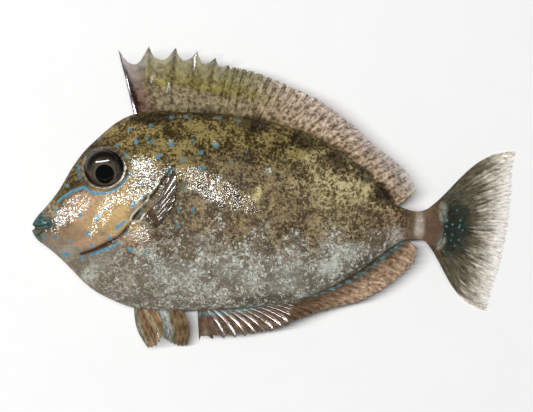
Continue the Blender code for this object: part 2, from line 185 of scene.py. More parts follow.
# Flap of the gill, gape, creases of the lips, edge of the preopercle, wrinkles of the throat
folds = (
    (gill["flap"], 0.15, 0.2),
    (mouth["line"], -0.95, 0.2),
    (mouth["underLip"], -0.28, 0.18),
    (mouth["crease"], -0.26, 0.16),
    (((-29.5, -5), (-30.2, -6.6), (-31.6, -7.6), (-34.2, -7.5)), -0.09, 0.2),
    (((-27, -9.3), (-26, -9.9), (-24.6, -9.5)), -0.07, 0.18),
    (((-24, -9.2), (-23.2, -10.1), (-22.4, -10.2)), -0.07, 0.18),
    (((-36.2, -8.2), (-33.6, -8), (-31.2, -8.6)), -0.07, 0.18),
)


def section(x):
    top, bottom, width = backLine(x), bellyLine(x), halfWidth(x)
    centre = 0.5 * (top + bottom) + body["widest"] * (top - bottom)
    ahead = np.minimum(1, (x - body["snoutX"]) / body["snoutRounding"])
    behind = np.clip(1 - (body["endX"] - x) / body["tailRounding"], 0, 1)
    blunt = np.sqrt(np.maximum(0, 1 - (1 - ahead) ** 2) * (1 - behind**2))
    return centre, (top - centre) * blunt, (centre - bottom) * blunt, width * blunt


def middleZ(x):
    past = np.maximum(0, (x - body["sinkStartX"]) / (body["fleshEndX"] - body["sinkStartX"]))
    return body["middleHeight"] - body["tailSink"] * past * past


def flankZ(x, y):
    centre, rise, fall, width = section(x)
    share = np.abs((y - centre) / np.where(y > centre, rise, fall))
    return width * np.maximum(0, 1 - share ** body["power"]) ** (1 / body["power"])


def eyeReach(x, y):
    return np.hypot((x - eye["centre"][0]) / eye["radii"][0], (y - eye["centre"][1]) / eye["radii"][1])


# Slow, smooth unevenness, about -1 to 1
def wobble(x, y, scale, seed):
    turns = np.random.default_rng(seed)
    total = np.zeros(np.shape(x))
    for _ in range(6):
        angle, phase = turns.uniform(0, math.tau, 2)
        rate = math.tau / (scale * turns.uniform(0.6, 1.6))
        total += np.sin((x * math.cos(angle) + y * math.sin(angle)) * rate + phase)
    return total / 3


# The gill's slit is widest in its middle
def inSlit(x, y, endWidth, wider, power):
    away, _, place = lineDistance(x, y, gill["slit"])
    return bell(away, endWidth + wider * np.sin(np.pi * place) ** power)


# How far folds and covers stand out of the smooth flank, in mm
def relief(x, y):
    away, side, place = lineDistance(x, y, gillOpening)
    ahead = side < 0
    cover = gill["rise"] * (1 - smooth(away / gill["reach"]))
    edge = smooth(0.5 - side * away / gill["edgeWidth"]) * np.where(ahead, 1, smooth(1 - away / 0.5))
    fade = smooth(place * 12) * smooth((1 - place) * 9)
    lift = cover * edge * (0.25 + 0.75 * fade) * (0.2 + 0.8 * ahead)
    lift -= gill["slitDepth"] * inSlit(x, y, 0.12, 0.22, 0.7)
    hollow = np.hypot(x - gill["hollow"][0], y - gill["hollow"][1])
    lift -= gill["hollowDepth"] * bell(hollow, gill["hollowWidth"])
    for line, rise, width in folds:
        lift += rise * nearLine(x, y, line, width)
    behind, side, _ = lineDistance(x, y, shoulder["line"])
    swell = smooth(0.5 - side * behind / 0.5) * bell(np.maximum(0, behind - 0.4), shoulder["reach"])
    lift += shoulder["rise"] * swell * smooth((shoulder["topY"] - y) / 1.4)
    # Rings of loose skin round the eye, and the socket that the eyeball sits in
    reach = eyeReach(x, y)
    for at, rise, width in eye["skinRings"]:
        lift += rise * bell((reach - at) * eye["radii"][0], width)
    lift -= eye["socket"] * smooth((1.02 - reach) / 0.1)
    lips = bell(lineDistance(x, y, mouth["line"])[0] - mouth["lipWidth"], mouth["lipWidth"])
    lift += mouth["lipRise"] * lips * smooth((mouth["cornerX"] - x) / 0.8)
    for nx, ny, radius in nostrils:
        away = np.hypot(x - nx, y - ny)
        lift += 0.1 * bell(away - radius * 1.5, radius * 0.5) - 0.4 * bell(away, radius * 0.8)
    # Muscle bands across the cheek
    across = (x - cheekBands["middle"][0]) * 0.68 - (y - cheekBands["middle"][1]) * 0.73
    bands = np.cos(math.tau * across / cheekBands["spacing"])
    lift += cheekBands["rise"] * bands * smooth(1.6 - leaned(x, y, *cheekBands["area"]))
    for *oval, hinge, slope in facets:
        lift += slope * (y - hinge) * smooth(1.5 - leaned(x, y, *oval))
    centre = section(x)[0]
    for keelX in keels["xs"]:
        lift += keels["rise"] * bell(x - keelX, keels["length"]) * bell(y - centre, keels["height"])
    return lift + 0.02 * wobble(x, y, 7, 3) + 0.012 * wobble(x, y, 2.6, 4)


# Colours, given as they look in the photograph, 0 to 255

def tone(red, green, blue):
    values = np.array([red, green, blue]) / 255
    return np.where(values <= 0.04045, values / 12.92, ((values + 0.055) / 1.055) ** 2.4)


skinTones = dict(
    back=tone(103, 90, 53), flank=tone(100, 84, 61), belly=tone(120, 111, 97),
    forehead=tone(84, 68, 42), nape=tone(114, 98, 61), cheek=tone(183, 153, 102),
    cheekPink=tone(176, 142, 112), snout=tone(138, 122, 100), jaw=tone(142, 116, 88),
    lip=tone(52, 84, 80), throat=tone(140, 122, 102), chest=tone(122, 113, 97),
    dark=tone(50, 39, 22), rear=tone(146, 133, 99), rearPurple=tone(106, 88, 70),
    stalk=tone(106, 85, 67), band=tone(182, 171, 156), pale=tone(170, 172, 160),
    cream=tone(184, 172, 122), slit=tone(58, 16, 12), mouthGap=tone(176, 156, 140),
    eyeRing=tone(96, 84, 64), tailRoot=tone(52, 56, 48), rim=tone(226, 222, 212),
)

# Soft patches of colour, one over another: middle, half sizes in mm, lean in degrees, colour, strength
patches = (
    (4, -0.6, 20.3, 5.4, -8, "flank", 0.8), (11.6, 1.1, 8.5, 5.8, -35, "rear", 0.8),
    (17.5, -5.3, 6.8, 3.4, -20, "rearPurple", 0.7), (-25.1, 11.3, 7.1, 2.7, 32, "nape", 0.9),
    (-31.2, 7.9, 3.7, 5.8, 50, "forehead", 0.95), (-35.3, 2.8, 2, 5.1, 55, "forehead", 0.8),
    (-21.4, 4.1, 5.1, 4.1, 20, "nape", 0.7), (-29, -2.6, 6.1, 3.6, 38, "cheek", 1),
    (-32.6, -1.9, 3.4, 2.4, 40, "cheekPink", 0.8), (-26.8, -4.3, 2.4, 3.7, 45, "cheek", 0.9),
    (-34.3, -6.7, 5.1, 2, -12, "jaw", 0.85), (-38, -3, 2, 2.7, 50, "snout", 0.9),
    (-35, -9.4, 5.1, 1.5, -32, "throat", 0.7), (-29, -12.4, 7.8, 2.9, -22, "chest", 0.9),
    (-30.7, -7.4, 3.4, 1, 10, "cheekPink", 0.6), (-40.4, -3.8, 1.7, 1.2, 35, "lip", 1),
    (-39.2, -4.7, 1.5, 1, 20, "lip", 0.9), (-40.4, -7, 1, 1.2, 60, "lip", 0.85),
    (-24, -7.4, 3.7, 1.4, 10, "jaw", 0.7), (-20.9, 13.3, 4.6, 1.2, 0, "dark", 0.95),
    (-21.1, 13.1, 2.4, 1, 0, "dark", 0.9), (-12.4, 14, 2.5, 0.8, -4, "dark", 0.8),
    (-3.7, 12.1, 2.8, 1.3, -10, "dark", 0.9), (4.4, 9.4, 2.3, 1.4, -38, "dark", 0.9),
    (10.1, 6.3, 2.2, 1.6, -48, "dark", 0.95), (14.8, 3.6, 1.4, 1.2, -50, "dark", 0.7),
    # Painted shadow: the dark patches at (-18, 1.9) and (-16.4, -3.1), behind the pectoral fin, stand for
    # the fin's shadow on the flank
    (17.7, 0.5, 1.9, 1.4, -48, "dark", 0.95), (-18, 1.9, 1.2, 3.4, 60, "dark", 0.6),
    (-16.4, -3.1, 2.4, 2.9, 80, "dark", 0.5), (-18.5, -6.5, 0.8, 2.4, 90, "dark", 0.4),
    (-10.2, 8.9, 0.45, 0.3, 0, "pale", 1), (-17.6, 9.4, 0.45, 0.3, 0, "pale", 1),
    (-1.4, 4.3, 0.45, 0.4, 0, "pale", 0.8), (-3.2, 0.4, 0.5, 1.3, -12, "cream", 0.8),
    (-7.4, 6.2, 3.2, 2, -30, "dark", 0.35),
    (22.9, -5, 3.7, 2.7, 0, "stalk", 0.8), (26, -5, 2, 3.7, 0, "stalk", 1),
    (20.1, -6.3, 0.8, 2.2, 0, "band", 0.45), (24.1, -4.7, 0.8, 2.5, 0, "band", 0.95),
    (29.9, -5.2, 1.5, 3.8, 0, "tailRoot", 0.9), (28.3, -2.6, 0.7, 1.7, 5, "pale", 0.6),
    (27.9, -8.1, 0.5, 1.2, -30, "pale", 0.75), (-15.8, -13.5, 3, 4.4, 80, "pale", 0.35),
    (-7.5, -12.1, 2.4, 3.4, 70, "pale", 0.3), (1.9, -13.8, 3.7, 2, 25, "pale", 0.4),
    (9.1, -12.1, 2, 1.4, 20, "pale", 0.5), (11.6, -9.4, 2.4, 1.2, 30, "pale", 0.45),
    (-31.2, -12.8, 1.2, 1.7, -60, "pale", 0.45), (-21.9, -9.1, 1.4, 1.4, 0, "pale", 0.4),
    (-35.3, -9.4, 1.5, 1, 0, "pale", 0.35), (-2.5, -17.5, 6.8, 0.8, 8, "dark", 0.35),
    (13.3, -12.1, 4.2, 0.7, 32, "dark", 0.5),
)

# Blue marks: middle, half sizes in mm, lean in degrees, and how bright
blueSpots = (
    (-19.7, 6.6, 0.71, 0.32, 40, 1), (-15.7, 6.1, 0.54, 0.32, 70, 0.75),
    (-12.6, 7.3, 0.46, 0.36, 60, 0.6), (-12.4, 4.7, 0.81, 0.34, 10, 0.6),
    (-9.6, 2.7, 0.47, 0.29, 80, 0.3), (-23.8, -1.3, 0.91, 0.41, 70, 1),
    (-22.5, -0.4, 0.75, 0.3, 65, 0.3), (-25.8, -4.6, 1.08, 0.32, 45, 1),
    (-22.5, -2.8, 0.37, 0.29, 20, 0.5), (-24.9, -6.1, 0.54, 0.37, 60, 0.9),
    (-17.9, 4.1, 0.75, 0.37, 45, 0.3), (-15.5, 1.5, 0.54, 0.34, 60, 0.3),
    (-19.2, -3.3, 0.37, 0.24, 50, 0.5), (-16.3, -2.1, 0.58, 0.24, 90, 0.3),
    (-13.9, -2.4, 0.75, 0.27, 90, 0.35), (-16.4, -4.8, 0.54, 0.2, 90, 0.5),
    (-24.4, -8.9, 0.64, 0.37, -25, 1), (-26.2, -9.3, 0.25, 0.24, 0, 0.6),
    (-22.1, -9.7, 0.37, 0.27, 0, 0.6), (-27.9, -7, 0.44, 0.41, 40, 0.9),
    (-23.5, 5.7, 0.46, 0.29, 60, 0.9), (-21.4, 5.8, 0.37, 0.27, 0, 0.7),
    (-22.7, 2.2, 0.46, 0.37, 30, 0.9), (-25.1, 6.9, 0.58, 0.29, -40, 0.9),
    (-37.1, -2.4, 0.41, 0.34, 30, 0.7), (-34.4, -2.9, 0.37, 0.27, 30, 0.9),
    (-32.9, -3.2, 0.46, 0.37, 30, 0.9), (-36.7, -4.1, 0.37, 0.25, 60, 0.8),
    (-30, -3.6, 0.91, 0.37, 50, 1), (-28.4, -2.1, 0.54, 0.29, 20, 0.8),
    (-31.6, -6.3, 0.54, 0.46, 0, 1), (-34.6, -7.5, 0.46, 0.24, -5, 0.8),
    (-30.9, -8.2, 0.37, 0.32, 0, 0.85), (-35.5, -9.8, 0.88, 0.41, 0, 0.75),
    (-32.6, -10.4, 0.44, 0.41, 0, 0.9), (-39, -6.6, 0.37, 0.27, 0, 0.6),
    (-38.8, -5.1, 0.29, 0.2, 0, 0.7), (-39.2, -4.3, 0.25, 0.22, 0, 0.5),
    (-37.3, -6.8, 0.61, 0.32, 0, 0.4), (-26.6, -5.2, 0.37, 0.51, 0, 0.8),
    (-35.3, 1.8, 0.34, 0.32, 0, 0.75), (-26.8, 8.5, 0.34, 0.32, 0, 0.6),
    (-24.6, 11.2, 0.34, 0.29, 0, 0.55), (-23.5, 9.1, 0.75, 0.33, 98, 0.9),
    (-21.6, 9.7, 0.37, 0.27, 30, 0.5), (-21, 9, 0.45, 0.4, 40, 0.5),
    (-17.6, 8.7, 0.5, 0.42, 20, 0.9), (-10.2, 8.4, 0.45, 0.36, 0, 0.8), (-14, 9.4, 0.32, 0.28, 0, 0.4),
    (-17.7, 13.3, 0.41, 0.29, 0, 0.45), (-15.2, 13.4, 0.41, 0.29, 0, 0.45),
    (-21.1, 11.9, 0.44, 0.32, 0, 0.5), (-9.6, 13.2, 0.47, 0.3, -30, 0.4),
    (-6.5, 12.7, 0.41, 0.24, 0, 0.4), (-29.9, 9.7, 0.27, 0.25, 0, 0.4), (-5.2, 7.5, 0.3, 0.24, 0, 0.35),
    (-1.4, 4.3, 0.3, 0.22, 40, 0.3), (-7.5, 5.7, 0.29, 0.22, 0, 0.35), (1.6, 6.2, 0.29, 0.22, 0, 0.3),
    (-11.3, 0.3, 0.32, 0.2, 80, 0.3), (-6.7, -0.8, 0.3, 0.2, 80, 0.3),
)
blueLines = (
    (((-36.7, -0.8), (-35.8, 0), (-34, 1), (-32.3, 1.6), (-31.6, 1.1), (-30.7, 0.5),
      (-29.7, 0.4), (-28.2, 0.6), (-27.2, 1)), 0.27, 1),
    (((-27.2, 1), (-26.2, 1.5), (-25.4, 2.6), (-24.6, 3.5), (-23.9, 4.1)), 0.2, 0.95),
    (((-33.4, 5.3), (-33.3, 4.5), (-33, 3)), 0.24, 0.65),
    (((-31.1, -9.7), (-29.2, -9.1), (-27.8, -8.6), (-26.4, -7.8)), 0.25, 0.9),
)


# Where the skin is wet and shines: middle, half sizes in mm, lean in degrees
wetAreas = (
    (-34.6, -2.5, 3.5, 1.6, 42), (-28.9, -2.8, 4.1, 1.05, 60), (-26.6, 1.2, 2, 0.9, 25),
    (-22.4, 4.2, 5.4, 3.3, -20), (-10.2, 1.2, 6.8, 2.1, -28), (-22.7, -6.4, 1.7, 1.4, 0),
    (-37.9, -5, 1.2, 1.6, 60), (-25, 2, 2, 3.6, -40), (-24.6, -5.4, 2.6, 0.7, 40),
    (-23.7, -0.1, 1.1, 2, -45),
)


# Each point's colour moved towards another by its share
def dye(colour, target, share):
    return colour + (target - colour) * np.clip(share, 0, 1)[:, None]


def darken(colour, share):
    return colour * (1 - share)[:, None]


def addPatches(colour, x, y, uneven, names=tuple(skinTones)):
    for *oval, name, strength in patches:
        if name in names:
            colour = dye(colour, skinTones[name], strength * smooth(1.5 - leaned(x, y, *oval) - uneven))
    return colour


# 0 at mid height, 1 at the back's edge, -1 at the belly's
def flankHeight(x, y):
    centre, rise, fall, _ = section(x)
    return (y - centre) / np.where(y > centre, rise, fall + 1e-6)


def skinPaint(x, y):
    height = np.clip(flankHeight(x, y), -1.2, 1.2)
    height = height + 0.2 * wobble(x, y, 6.5, 15) + 0.09 * wobble(x, y, 2, 16)
    colour = dye(skinTones["flank"], skinTones["back"], smooth(height * 1.6))
    colour = dye(colour, skinTones["belly"], smooth((-height - 0.12) * 1.9))
    uneven = wobble(x, y, 4, 8) * 0.2 + wobble(x, y, 1.6, 9) * 0.1
    blotch = smooth((wobble(x, y, 5, 14) - 0.1) / 0.6)
    colour = darken(colour, 0.2 * blotch * smooth(height * 3 + 0.3) * smooth((x + 24) / 5))
    colour = addPatches(colour, x, y, uneven)
    colour = dye(colour, skinTones["slit"], 0.95 * inSlit(x, y, 0.17, 0.19, 1))
    # Painted shade in the gap behind the rear edge of the gill cover, along its upper part
    edge, side, place = lineDistance(x, y, gillOpening)
    gap = bell(np.maximum(0, edge - 0.12), 0.22) * smooth(0.5 + side * edge / 0.12)
    colour = dye(colour, skinTones["dark"] * 0.5, 0.85 * gap * smooth((0.62 - place) / 0.1))
    ring = eyeReach(x, y)
    colour = dye(colour, skinTones["eyeRing"], 0.7 * smooth((1.25 - ring) / 0.2))
    # Painted shade in the socket round the eyeball
    colour = darken(colour, 0.85 * smooth((1.03 - ring) / 0.05))
    inner, outer, wet = (bell((ring - at) * eye["meanRadius"], width)
                         for at, width in ((1.2, 0.14), (1.4, 0.14), (1.06, 0.11)))
    colour = darken(colour, 0.3 * (inner + outer * (y > eye["centre"][1])))
    # Pale rims with painted highlight: along the loose flap of the gill, partly its own pale edge and
    # partly a painted glint, and a painted reflection along the lower edge of the eye
    rim = np.maximum(nearLine(x, y, gill["rim"], 0.12), wet * smooth((x - y + 31.2) / 2.5))
    colour = dye(colour, skinTones["rim"], 0.85 * rim)
    gap = nearLine(x, y, mouth["line"], 0.2) * smooth((-38.6 - x) / 1.2)
    colour = dye(colour, skinTones["mouthGap"], 0.6 * gap)
    # Painted shade in the creases under the lower lip and behind the corner of the mouth
    creases = nearLine(x, y, mouth["underLip"], 0.17) + nearLine(x, y, mouth["crease"], 0.15)
    return np.clip(darken(colour, 0.6 * creases), 0.001, 1)


def wetness(x, y):
    uneven = 0.16 * wobble(x, y, 2.4, 51)
    wet = bell((eyeReach(x, y) - 1.08) * eye["radii"][0], 0.4)
    for oval in wetAreas:
        wet = np.maximum(wet, smooth((1.25 - leaned(x, y, *oval) + uneven) / 0.4))
    return wet


# How far inside a blue mark a point is, and how bright that mark is
def blueMarks(x, y):
    marks = [(1 - leaned(x, y, *oval), glow) for *oval, glow in blueSpots]
    marks += [(1 - lineDistance(x, y, line)[0] / half, glow) for line, half, glow in blueLines]
    field, bright = np.full(x.shape, -1), np.zeros(x.shape)
    for inside, glow in marks:
        bright = np.where(inside > field, glow, bright)
        field = np.maximum(field, inside)
    return field, bright


# How strongly each kind of mottling shows, over the whole skin
def skinGrain(x, y):
    height = flankHeight(x, y) + 0.16 * wobble(x, y, 5, 17)
    head = lineDistance(x, y, gill["edge"])[1] < 0
    cheekReach = leaned(x, y, -31.2, -4.3, 8.1, 5.1, 25)
    speckle = np.where(head, 0.45 + 0.5 * smooth(height * 2), 1 - 0.18 * bell(height + 0.05, 0.3))
    speckle = speckle * (0.4 + 0.6 * smooth(cheekReach - 0.7))
    speckle = speckle * (1 - 0.8 * smooth((x - 20.5) / 3)) * (1 - 0.2 * smooth((-height - 0.3) * 3))
    speckle = speckle * (1 - 0.1 * smooth(1.6 - leaned(x, y, -6.5, -2.2, 11, 3.6, -6)))
    middle = (0.35 + 0.65 * smooth((x + 25) / 6)) * smooth((x + 33) / 6)
    fleck = smooth((-height - 0.02) * 2.2) * middle * (1 - smooth((x - 19.5) / 3))
    upper = 0.75 * smooth((x + 21) / 5) * (1 - smooth((x - 17) / 3)) * bell(height, 0.3)
    return speckle, np.maximum(fleck, upper), smooth((-height - 0.1) * 3)


# Each layer as an attribute, a colour where its values come in threes
def paintOn(mesh, **layers):
    for name, values in layers.items():
        kind, key = ("FLOAT_COLOR", "color") if values.ndim == 2 else ("FLOAT", "value")
        if values.ndim == 2:
            values = np.column_stack([values, np.ones(len(values))])
        mesh.attributes.new(name, kind, "POINT").data.foreach_set(key, values.astype(np.float32).ravel())


def pointsOf(mesh):
    points = np.empty(len(mesh.vertices) * 3, np.float32)
    mesh.vertices.foreach_get("co", points)
    return points.reshape(-1, 3).astype(float)


def moveTo(mesh, points):
    mesh.vertices.foreach_set("co", points.astype(np.float32).ravel())
    mesh.update()


def finishPiece(obj, name, slot, *nodes):
    obj.name = name
    obj.data.name = name
    pick(obj)
    bpy.ops.object.shade_smooth()
    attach(obj, "root")
    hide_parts(*nodes)
    startFresh()


# Shader helpers: new nodes go into the tree on the desk

desk = {}


def feed(node, sockets):
    for key, value in sockets.items():
        if isinstance(value, np.ndarray):
            value = (*map(float, value), 1)
        if isinstance(value, (int, float, tuple)):
            node.inputs[key].default_value = value
        else:
            desk["tree"].links.new(value, node.inputs[key])


def addNode(kind, sockets=None, **settings):
    node = desk["tree"].nodes.new(kind)
    for key, value in settings.items():
        setattr(node, key, value)
    feed(node, sockets or {})
    return node


def newMaterial(name, roughness, specular=0.5):
    material = bpy.data.materials.new(name)
    material.use_nodes = True
    desk["tree"] = material.node_tree
    shader = material.node_tree.nodes["Principled BSDF"]
    feed(shader, {"Roughness": roughness, "Specular IOR Level": specular})
    return material, shader


def maths(operation, first, second=0, clamp=False):
    sockets = {0: first, 1: second}
    return addNode("ShaderNodeMath", sockets, operation=operation, use_clamp=clamp).outputs[0]


def times(first, *others):
    for other in others:
        first = maths("MULTIPLY", first, other)
    return first


def plus(first, second):
    return maths("ADD", first, second)


# How far a value swings from its middle, scaled
def swing(value, strength, middle=0.5):
    return times(maths("SUBTRACT", value, middle), strength)


def ramp(value, fromLow, fromHigh, toLow=0, toHigh=1):
    sockets = {"Value": value, "From Min": fromLow, "From Max": fromHigh, "To Min": toLow, "To Max": toHigh}
    node = addNode("ShaderNodeMapRange", sockets, clamp=True, interpolation_type="SMOOTHSTEP")
    return node.outputs["Result"]


def blend(factor, first, second, mode="MIX"):
    sockets = {"Factor": factor, 6: first, 7: second}
    return addNode("ShaderNodeMix", sockets, data_type="RGBA", blend_type=mode).outputs[2]


def attribute(name, output="Fac"):
    return addNode("ShaderNodeAttribute", attribute_name=name).outputs[output]


def inMillimetres(stretch=(1, 1, 1), start=(0, 0, 0)):
    where = addNode("ShaderNodeTexCoord").outputs["Object"]
    sockets = {"Vector": where, "Scale": tuple(s / mm for s in stretch), "Location": start}
    return addNode("ShaderNodeMapping", sockets).outputs["Vector"]


def noise(vector, scale, detail=3, roughness=0.55, distortion=0):
    sockets = {"Vector": vector, "Scale": scale, "Detail": detail, "Roughness": roughness,
               "Distortion": distortion}
    return addNode("ShaderNodeTexNoise", sockets).outputs["Fac"]


def cells(vector, scale):
    return addNode("ShaderNodeTexVoronoi", {"Vector": vector, "Scale": scale}).outputs["Distance"]


# Wet, finely scaled surface: shared by the skin and the fins

def makeWetGrain():
    group = bpy.data.node_groups.new("wetGrain", "ShaderNodeTree")
    group.interface.new_socket("Vector", in_out="INPUT", socket_type="NodeSocketVector")
    group.interface.new_socket("Height", in_out="OUTPUT", socket_type="NodeSocketFloat")
    group.interface.new_socket("Roughness", in_out="OUTPUT", socket_type="NodeSocketFloat")
    desk["tree"] = group
    inside = addNode("NodeGroupInput").outputs["Vector"]
    rough = noise(inside, 2, 2, 0.5, 0.9)
    folded = noise(inside, 0.6, 2, 0.5)
    height = plus(times(cells(inside, 3), 0.18), rough)
    height = plus(height, times(folded, 0.7))
    roughness = ramp(folded, 0.35, 0.65, 0.36, 0.5)
    addNode("NodeGroupOutput", {"Height": height, "Roughness": roughness})
    return group


wetGrain = makeWetGrain()


def grainOutputs(vector, strength):
    grain = addNode("ShaderNodeGroup", {"Vector": vector}, node_tree=wetGrain).outputs
    sockets = {"Height": grain["Height"], "Strength": strength, "Distance": 0.0001}
    return grain["Roughness"], addNode("ShaderNodeBump", sockets).outputs["Normal"]


def addGrain(shader, vector, strength):
    roughness, normal = grainOutputs(vector, strength)
    feed(shader, {"Roughness": roughness, "Normal": normal})


# A film of water lies on it, smoother than the skin itself
def addFilm(shader, vector, strength, wet, roughness):
    normal = grainOutputs(vector, strength)[1]
    feed(shader, {"Coat Weight": wet, "Coat Roughness": roughness, "Coat IOR": 1.75,
                  "Coat Normal": normal})


# Skin

skinLook = dict(
    grainScale=2.1, blotchScale=0.33, gathering=0.55,
    darker=(0.3, 0.26, 0.15, 1), warmer=(2.3, 2.4, 2.4, 1), cooler=(1.75, 1.88, 1.98, 1),
    fleckScale=3.3, fleckShows=0.82, cream=tone(176, 160, 114), white=tone(214, 219, 209),
    curlScale=1.15, dotScale=1, halo=tone(150, 148, 122),
    blueDull=tone(58, 104, 102), blueBright=tone(88, 158, 190), blueDeep=tone(46, 82, 96),
    relief=1, film=0.8, filmRoughness=0.06, beadScale=1.7,
)


def makeSkinMaterial():
    material, shader = newMaterial("fishSkin", roughness=0.2, specular=0.15)
    vector = inMillimetres()
    paint = attribute("paint", "Color")
    speckle, fleck, fleckTone, field, bright, wet = (
        attribute(layer) for layer in ("speckle", "fleck", "fleckTone", "blue", "blueGlow", "wet"))
    # A mosaic of dark and pale grains that gathers into blotches
    grainy = noise(vector, skinLook["grainScale"], 5, 0.7, 0.6)
    blotchy = noise(vector, skinLook["blotchScale"], 3, 0.65, 0.4)
    mosaic = plus(grainy, swing(blotchy, skinLook["gathering"]))
    darker = blend(1, paint, skinLook["darker"], "MULTIPLY")
    warm = blend(fleckTone, skinLook["warmer"], skinLook["cooler"])
    lighter = blend(1, paint, warm, "MULTIPLY")
    low = times(ramp(mosaic, 0.495, 0.445), speckle, ramp(fleckTone, 0.2, 1, 1, 0.45))
    high = times(ramp(mosaic, 0.515, 0.575), speckle)
    colour = blend(low, paint, darker)
    colour = blend(high, colour, lighter)
    # Cream flecks on the flank and bluish white ones on the belly
    streaky = noise(inMillimetres((1, 0.7, 1)), skinLook["fleckScale"], 5, 0.65, 0.4)
    dense = plus(plus(streaky, swing(fleck, 0.1, 1)), swing(blotchy, 0.42))
    pale = times(ramp(dense, 0.59, 0.635, 0, 0.8), fleck)
    # Short curled marks, where a slow noise passes its middle
    bending = noise(vector, skinLook["curlScale"], 1, 0.5, 0.9)
    bending = maths("ABSOLUTE", maths("SUBTRACT", bending, 0.5))
    gathered = ramp(noise(vector, 0.8, 2, 0.6), 0.49, 0.54)
    curls = times(ramp(bending, 0.04, 0.015), gathered, ramp(fleck, 0.05, 0.5))
    dots = ramp(cells(vector, skinLook["dotScale"]), 0.32, 0.16)
    dots = times(dots, fleck, ramp(blotchy, 0.42, 0.52))
    pale = maths("MAXIMUM", maths("MAXIMUM", pale, curls), dots)
    fleckColour = blend(fleckTone, skinLook["cream"], skinLook["white"])
    colour = blend(times(pale, skinLook["fleckShows"]), colour, fleckColour)
    # Blue marks with ragged edges, and a pale halo round each
    ragged = plus(field, swing(grainy, 1.3))
    blueTone = blend(bright, skinLook["blueDull"], skinLook["blueBright"])
    blueTone = blend(ramp(grainy, 0.4, 0.62, 0.45, 0), blueTone, skinLook["blueDeep"])
    colour = blend(ramp(ragged, -0.5, 0.1, 0, 0.2), colour, skinLook["halo"])
    colour = blend(ramp(ragged, -0.06, 0.42, 0, 0.92), colour, blueTone)
    feed(shader, {"Base Color": colour})
    addGrain(shader, vector, skinLook["relief"])
    beads = ramp(noise(vector, skinLook["beadScale"], 3, 0.6, 0.4), 0.41, 0.51, 0.25, 1)
    addFilm(shader, vector, skinLook["film"], times(wet, beads), skinLook["filmRoughness"])
    return material


def buildSkin():
    startFresh()
    around, rings = body["leftSteps"] + body["rightSteps"], body["rings"]
    bpy.ops.mesh.primitive_uv_sphere_add(segments=around, ring_count=rings, radius=1)
    skin = bpy.context.object
    start = pointsOf(skin.data)
    ring = np.rint(np.arccos(np.clip(start[:, 2], -1, 1)) / math.pi * rings)
    step = np.rint(np.mod(np.arctan2(start[:, 1], start[:, 0]), math.tau) / math.tau * around)
    pole = (ring == 0) | (ring == rings)
    share = np.clip((ring - 1) / (rings - 2), 0, 1)
    x = np.interp(share, body["ringShares"], body["ringXs"])
    # More steps on the flank that faces up, spread over its height
    left = step <= body["leftSteps"]
    across = np.where(left, step / body["leftSteps"], (step - body["leftSteps"]) / body["rightSteps"])
    even = math.pi * (across - 0.5)
    spread = 0.45 * even + 0.55 * np.arcsin(np.clip(2 * across - 1, -1, 1))
    turn = np.where(left, spread, math.pi + spread)
    up, out = np.sin(turn), np.cos(turn)
    centre, rise, fall, width = section(x)
    power = 2 / body["power"]
    y = centre + np.where(up > 0, rise, fall) * np.sign(up) * np.abs(up) ** power
    z = width * np.sign(out) * np.abs(out) ** power
    y, z = np.where(pole, centre, y), np.where(pole, 0, z)
    lift = relief(x, y) * np.minimum(1, 1.6 * np.abs(out)) * ~pole
    z = z + np.where(left, lift, -lift)
    # The gape: both lips stand ahead of it
    notch = bell(y - mouth["notchY"], mouth["notchWidth"]) * (1 - smooth((x - body["snoutX"]) / 2.2))
    x = x + mouth["notchX"] * notch
    z = z * (1 - 0.35 * notch)
    # The right flank settles on the floor
    height, settle = middleZ(x) + z, body["settleBelow"]
    height = np.where(height < settle, settle * np.exp(np.minimum(0, height - settle) / settle), height)
    height = np.maximum(height, body["clearance"])
    moveTo(skin.data, np.column_stack([x, y, height]) * mm)
    print("skin shaped:", len(start), "points")
    # The marks of the right flank are shifted a little
    paintX = x + np.where(left, 0, 0.35 * wobble(x, y, 9, 21))
    paintY = y + np.where(left, 0, 0.35 * wobble(x, y, 8, 22))
    field, bright = blueMarks(paintX, paintY)
    speckle, fleck, fleckTone = skinGrain(x, y)
    paintOn(skin.data, paint=skinPaint(paintX, paintY), blue=field, blueGlow=bright, speckle=speckle,
            fleck=fleck, fleckTone=fleckTone, wet=wetness(x, y))
    skin.data.materials.append(makeSkinMaterial())
    faceOutwards(skin)
    finishPiece(skin, "fishSkin", "skin", "head", "trunk", "tail_stalk")


# Eyes

def makeEyeMaterial():
    material, shader = newMaterial("eyeball", roughness=0.06, specular=0.4)
    px, py = eye["pupil"]
    fromPupil = inMillimetres((1, 1, 0), (-px, -py, 0))
    away = addNode("ShaderNodeVectorMath", {0: fromPupil}, operation="LENGTH").outputs["Value"]
    grain = noise(inMillimetres(), 1.6, 4, 0.6, 0.8)
    radius = eye["pupilRadius"]
    iris = blend(ramp(grain, 0.4, 0.62), tone(56, 49, 42), tone(86, 77, 64))
    iris = blend(ramp(away, radius + 0.5, radius + 0.1), iris, tone(92, 84, 68))
    iris = blend(ramp(away, 2.3, 3.1), iris, tone(22, 18, 16))
    colour = blend(ramp(away, radius + 0.06, radius - 0.06), iris, tone(6, 8, 9))
    feed(shader, {"Base Color": colour})
    return material


